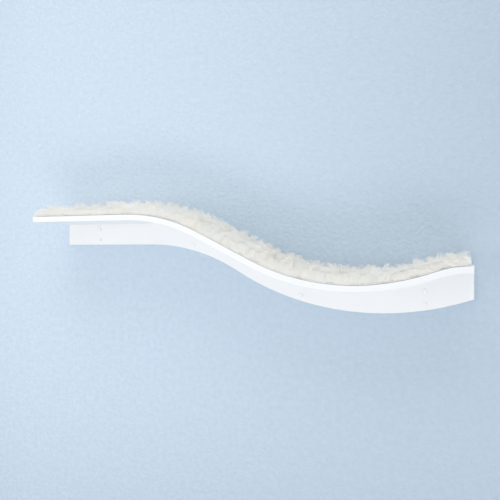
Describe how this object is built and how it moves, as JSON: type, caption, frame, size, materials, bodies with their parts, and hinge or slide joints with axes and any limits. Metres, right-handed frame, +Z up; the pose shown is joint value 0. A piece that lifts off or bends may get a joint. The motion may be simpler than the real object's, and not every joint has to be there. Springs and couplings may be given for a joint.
{
  "type": "cat wall shelf",
  "caption": "Wall shelf for cats: a board bent in an S on a matching wall panel, with a lift-off fur pad on top and capped wall screws.",
  "frame": {"origin": "on the wall plane at mid-length, on the wall panel's back face", "axes": "+X along the wall to the right, +Y into the wall, +Z up; the shelf projects from the wall to -Y"},
  "size_m": [1.3208, 0.245, 0.32],
  "materials": {
    "board_paint": "satin",
    "panel_paint": "satin",
    "screw_steel": "satin",
    "cap_plastic": "satin",
    "hook_tape": "matte",
    "loop_tape": "matte",
    "backing_cloth": "matte",
    "fur": "matte"
  },
  "bodies": {
    "shelf": {"shelf_board": "board_paint", "wall_panel": "panel_paint", "board_screws": "screw_steel", "wall_screws": "screw_steel", "hook_strip_1": "hook_tape", "hook_strip_2": "hook_tape", "hook_strip_3": "hook_tape", "hook_strip_4": "hook_tape", "hook_strip_5": "hook_tape"},
    "pad": {"fur_pile": "fur", "pad_backing": "backing_cloth", "loop_strip_1": "loop_tape", "loop_strip_2": "loop_tape", "loop_strip_3": "loop_tape", "loop_strip_4": "loop_tape", "loop_strip_5": "loop_tape"},
    "cap_1": {"screw_cap_1": "cap_plastic"},
    "cap_2": {"screw_cap_2": "cap_plastic"},
    "cap_3": {"screw_cap_3": "cap_plastic"},
    "cap_4": {"screw_cap_4": "cap_plastic"},
    "cap_5": {"screw_cap_5": "cap_plastic"},
    "cap_6": {"screw_cap_6": "cap_plastic"},
    "cap_7": {"screw_cap_7": "cap_plastic"},
    "cap_8": {"screw_cap_8": "cap_plastic"}
  },
  "joints": [
    {"name": "pad_lift", "type": "slide", "parent": "shelf", "child": "pad", "axis": [0, 0, 1], "range_m": [0, 0.12]},
    {"name": "cap_1_pull", "type": "slide", "parent": "shelf", "child": "cap_1", "axis": [0, -1, 0], "range_m": [0, 0.015]},
    {"name": "cap_2_pull", "type": "slide", "parent": "shelf", "child": "cap_2", "axis": [0, -1, 0], "range_m": [0, 0.015]},
    {"name": "cap_3_pull", "type": "slide", "parent": "shelf", "child": "cap_3", "axis": [0, -1, 0], "range_m": [0, 0.015]},
    {"name": "cap_4_pull", "type": "slide", "parent": "shelf", "child": "cap_4", "axis": [0, -1, 0], "range_m": [0, 0.015]},
    {"name": "cap_5_pull", "type": "slide", "parent": "shelf", "child": "cap_5", "axis": [0, -1, 0], "range_m": [0, 0.015]},
    {"name": "cap_6_pull", "type": "slide", "parent": "shelf", "child": "cap_6", "axis": [0, -1, 0], "range_m": [0, 0.015]},
    {"name": "cap_7_pull", "type": "slide", "parent": "shelf", "child": "cap_7", "axis": [0, -1, 0], "range_m": [0, 0.015]},
    {"name": "cap_8_pull", "type": "slide", "parent": "shelf", "child": "cap_8", "axis": [0, -1, 0], "range_m": [0, 0.015]}
  ]
}
